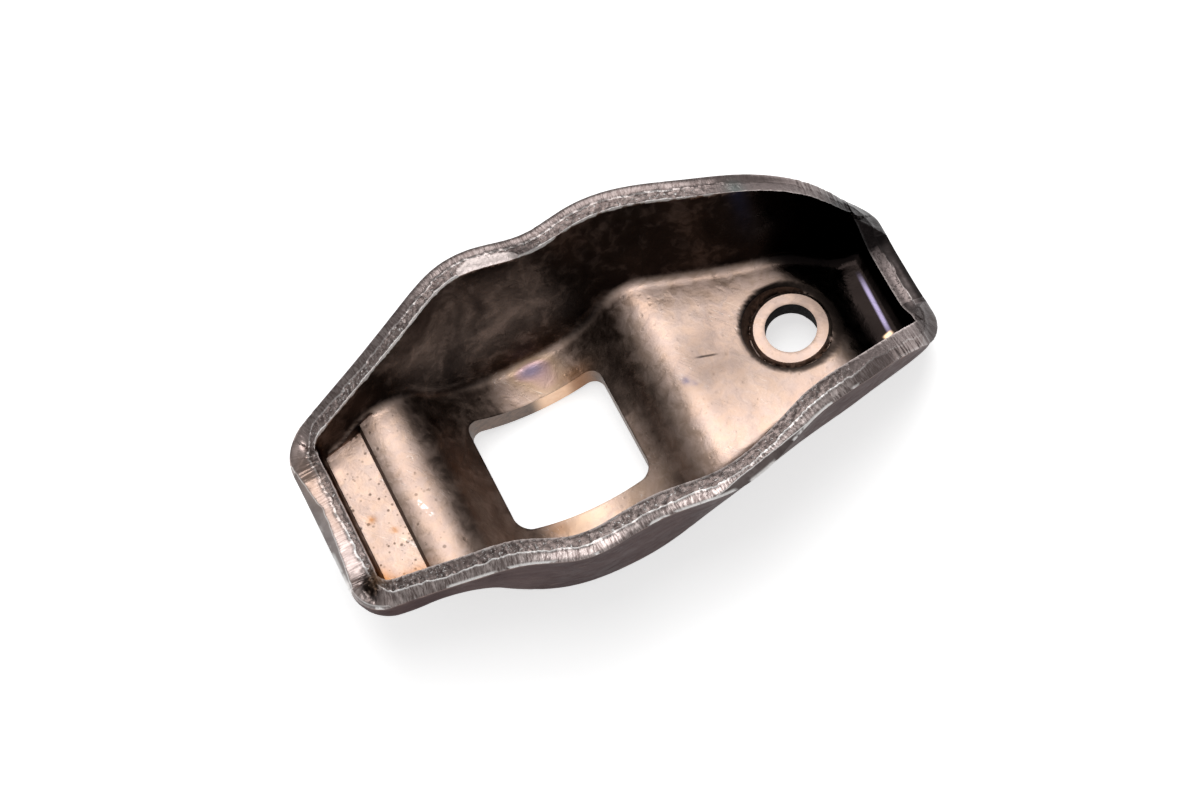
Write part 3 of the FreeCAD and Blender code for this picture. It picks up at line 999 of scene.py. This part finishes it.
# %% Rim: rolled lip
ROLLED = (0.16, 0.125, 0.12, 1.0), (0.30, 0.25, 0.24, 1.0)
ROLLED_VALVE = (0.34, 0.29, 0.28, 1.0), (0.52, 0.46, 0.445, 1.0)


def crest_of(tree, value, low, top, end):
    """Rises from 0 at low to 1 at top, and falls from 1 at 0 to 0 at end."""
    return times(tree, rise(tree, value, low, top), rise(tree, value, end, 0.0))


roll_band = read(tree, "roll_band")
on_roll = rise(tree, roll_band, 0.0, -0.12)
smeared = shade(tree, valve, shade(tree, patchwork, *ROLLED), shade(tree, patchwork, *ROLLED_VALVE))
# Painted highlights along the line between the bands and along the edge of each rolled lip; the
# first is weaker on the far side.
line_shine = times(tree, crest_of(tree, band, -0.24, -0.04, 0.10),
                   calc(tree, "SUBTRACT", lively, times(tree, far, 0.7), clamp=True))
roll_shine = times(tree, crest_of(tree, roll_band, -0.10, 0.0, 0.10), lively)
colour = layered(tree, colour, [
    (times(tree, line_shine, calc(tree, "ADD", 0.35, patchwork)), BRIGHT),
    (on_roll, smeared),
    (times(tree, roll_shine, calc(tree, "ADD", 0.4, patchwork)), BRIGHT),
])
print("rim: rolled lip,", len(tree.nodes), "nodes")

# %% Rim: lips, chip, gouge, stains, painted highlights and painted shade
CHIP_METAL_AND_HIGHLIGHT = (1.0, 0.86, 0.82, 1.0)
GOUGE_DARK = (0.035, 0.026, 0.023, 1.0)
RIM_RUST = (0.42, 0.24, 0.13, 1.0)
RIM_BLUE = (0.10, 0.25, 0.24, 1.0)
RIM_PAINTED_SHADE = (0.020, 0.016, 0.016, 1.0)

# Painted highlight along the outer lip, weaker on the far side.
lip_shine = times(tree, rise(tree, read(tree, "across"), 0.13, 0.04),
                  rise(tree, stained, 0.45, 0.7),
                  calc(tree, "SUBTRACT", lively, far, clamp=True))
# Painted highlight along the burr.
painted_burr_shine = rise(tree, read(tree, "burr"), 0.25, 0.60)
chip = read(tree, "chip")
colour = layered(tree, colour, [
    (lip_shine, BRIGHT),
    (painted_burr_shine, BRIGHT),
    # The chip: clean metal, painted bright as a highlight.
    (chip, CHIP_METAL_AND_HIGHLIGHT),
    # The gouge is painted darker.
    (times(tree, read(tree, "gouge"), 0.95), GOUGE_DARK),
    (times(tree, read(tree, "rust"), 0.85), RIM_RUST),
    (times(tree, read(tree, "blue"), 0.4), RIM_BLUE),
    # Painted shade on the pushrod end of the rim and at a far corner.
    (times(tree, read(tree, "painted_shade"), 0.9), RIM_PAINTED_SHADE),
])
print("rim: lips, chip and dirt,", len(tree.nodes), "nodes")

# %% Rim: gloss and grain
# Painted highlights, the chip and the rolled lip at the valve end are made less metallic, so they
# stay bright whatever they reflect.
glints = times(tree, on_roll, valve, 0.8)
for shine in (line_shine, roll_shine, painted_burr_shine, chip, lip_shine):
    glints = calc(tree, "MAXIMUM", glints, shine)
metallic = calc(tree, "SUBTRACT", 1.0, times(tree, glints, 0.75), clamp=True)
rough = calc(tree, "ADD", 0.30, times(tree, on_torn, 0.12))
relief = calc(tree, "ADD", streak, times(tree, calc(tree, "ADD", small, sparkle), on_torn))
finish(rim_steel, {"Base Color": colour, "Roughness": rough, "Metallic": metallic},
       relief, depth=0.035)

# %% [markdown]
# ## Cut walls
# The walls of the slot were punched, and heat has tinted those beside the strips.
# The hole's wall is painted nearly black, as painted shade inside the hole, and doesn't
# shine like metal. One material does both, because a map tells the hole from the slot.

# %% Cut walls
CUT_OXIDE = (0.09, 0.065, 0.052, 1.0), (0.22, 0.16, 0.13, 1.0)
CUT_TINT = (0.86, 0.60, 0.42, 1.0)
BORE_PAINTED_SHADE = (0.010, 0.008, 0.008, 1.0)

bore_steel, tree, shader, place = steel("cut_wall")
shader.inputs["Specular IOR Level"].default_value = 0.1
small = pattern(tree, clouds, place=place, pitch=0.8)
bored = read(tree, "bore")
colour = layered(tree, shade(tree, small, *CUT_OXIDE), [
    (rise(tree, read(tree, "tint"), 0.06, 0.26), CUT_TINT),
    (times(tree, read(tree, "rust"), 0.9), ORANGE),
    # Painted shade: the wall of the hole is painted nearly black.
    (bored, BORE_PAINTED_SHADE),
])
rough = calc(tree, "ADD", calc(tree, "ADD", 0.35, times(tree, small, 0.2)),
             times(tree, bored, 0.4), clamp=True)
metallic = calc(tree, "SUBTRACT", 1.0, bored)
finish(bore_steel, {"Base Color": colour, "Roughness": rough, "Metallic": metallic},
       small, depth=0.02)

# %% [markdown]
# ## Small dents
# Years of knocks leave shallow dents all over the sheet. They repeat by a rule, so
# Geometry Nodes make them: points are scattered on the skin, and every place near a
# point sinks along its normal. Dents cut one by one would take a list of places and
# say no more. The same tree gives each zone of the skin its finish.

# %% Dent tree
DENT_KINDS = {"Seed": "NodeSocketInt", "Density": "NodeSocketFloat",
              "Radius": "NodeSocketFloat", "Depth": "NodeSocketFloat"}

dents = bpy.data.node_groups.new("dents", "GeometryNodeTree")
dents.interface.new_socket("Skin", in_out="INPUT", socket_type="NodeSocketGeometry")
dent_inputs = {}
for name, kind in DENT_KINDS.items():
    socket = dents.interface.new_socket(name, in_out="INPUT", socket_type=kind)
    dent_inputs[name] = socket.identifier
dents.interface.new_socket("Skin", in_out="OUTPUT", socket_type="NodeSocketGeometry")
given = dents.nodes.new("NodeGroupInput").outputs
result = dents.nodes.new("NodeGroupOutput").inputs

scatter = put(dents, "GeometryNodeDistributePointsOnFaces", {
    "Mesh": given["Skin"], "Density": given["Density"], "Seed": given["Seed"]})
close = put(dents, "GeometryNodeProximity", {0: scatter.outputs["Points"]}, target_element="POINTS")
reach = calc(dents, "DIVIDE", close.outputs["Distance"], given["Radius"])
sink = times(dents, rise(dents, reach, 1.0, 0.0), times(dents, given["Depth"], -1.0))
away = put(dents, "GeometryNodeInputNormal").outputs[0]
offset = put(dents, "ShaderNodeVectorMath", {0: away, "Scale": sink}, operation="SCALE").outputs[0]
moved = put(dents, "GeometryNodeSetPosition", {"Geometry": given["Skin"], "Offset": offset})
flow = put(dents, "GeometryNodeRealizeInstances", {0: moved.outputs[0]}).outputs[0]

which = put(dents, "GeometryNodeInputNamedAttribute", {"Name": "zone"}, data_type="INT").outputs[0]
finishes = {OUTSIDE: outside_steel, INSIDE: inside_steel, RIM: rim_steel,
            COINED: inside_steel, BORE: bore_steel}
for kind, steel_look in finishes.items():
    here = put(dents, "FunctionNodeCompare", {2: which, 3: kind},
               data_type="INT", operation="EQUAL").outputs[0]
    flow = put(dents, "GeometryNodeSetMaterial", {0: flow, 1: here, 2: steel_look}).outputs[0]
dents.links.new(flow, result[0])
print("dent tree:", len(dents.nodes), "nodes")

# %% Dents
DENTS = {"Seed": 11, "Density": 60000.0, "Radius": 0.8 * mm, "Depth": 0.04 * mm}

arm = show("arm_skin", skin)
denting = arm.modifiers.new("dents", "NODES")
denting.node_group = dents
for name, value in DENTS.items():
    denting[dent_inputs[name]] = value
dented = evaluated_mesh(arm)
arm.modifiers.remove(denting)
arm.data = dented
dented.name = "arm_skin"
dented.polygons.foreach_set("use_smooth", [True] * len(dented.polygons))
dented.set_sharp_from_angle(angle=SHARP_ANGLE)
print("arm_skin:", len(dented.polygons), "faces,", len(dented.materials), "finishes")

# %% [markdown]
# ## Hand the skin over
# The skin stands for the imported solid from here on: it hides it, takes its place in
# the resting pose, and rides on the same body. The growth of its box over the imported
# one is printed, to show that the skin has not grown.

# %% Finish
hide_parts("rocker_arm")
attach(arm, "root")
skin_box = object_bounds()
growth = [skin_box[1][i] - skin_box[0][i] - cad_box[1][i] + cad_box[0][i] for i in range(3)]
print("growth, mm:", [round(v / mm, 2) for v in growth])
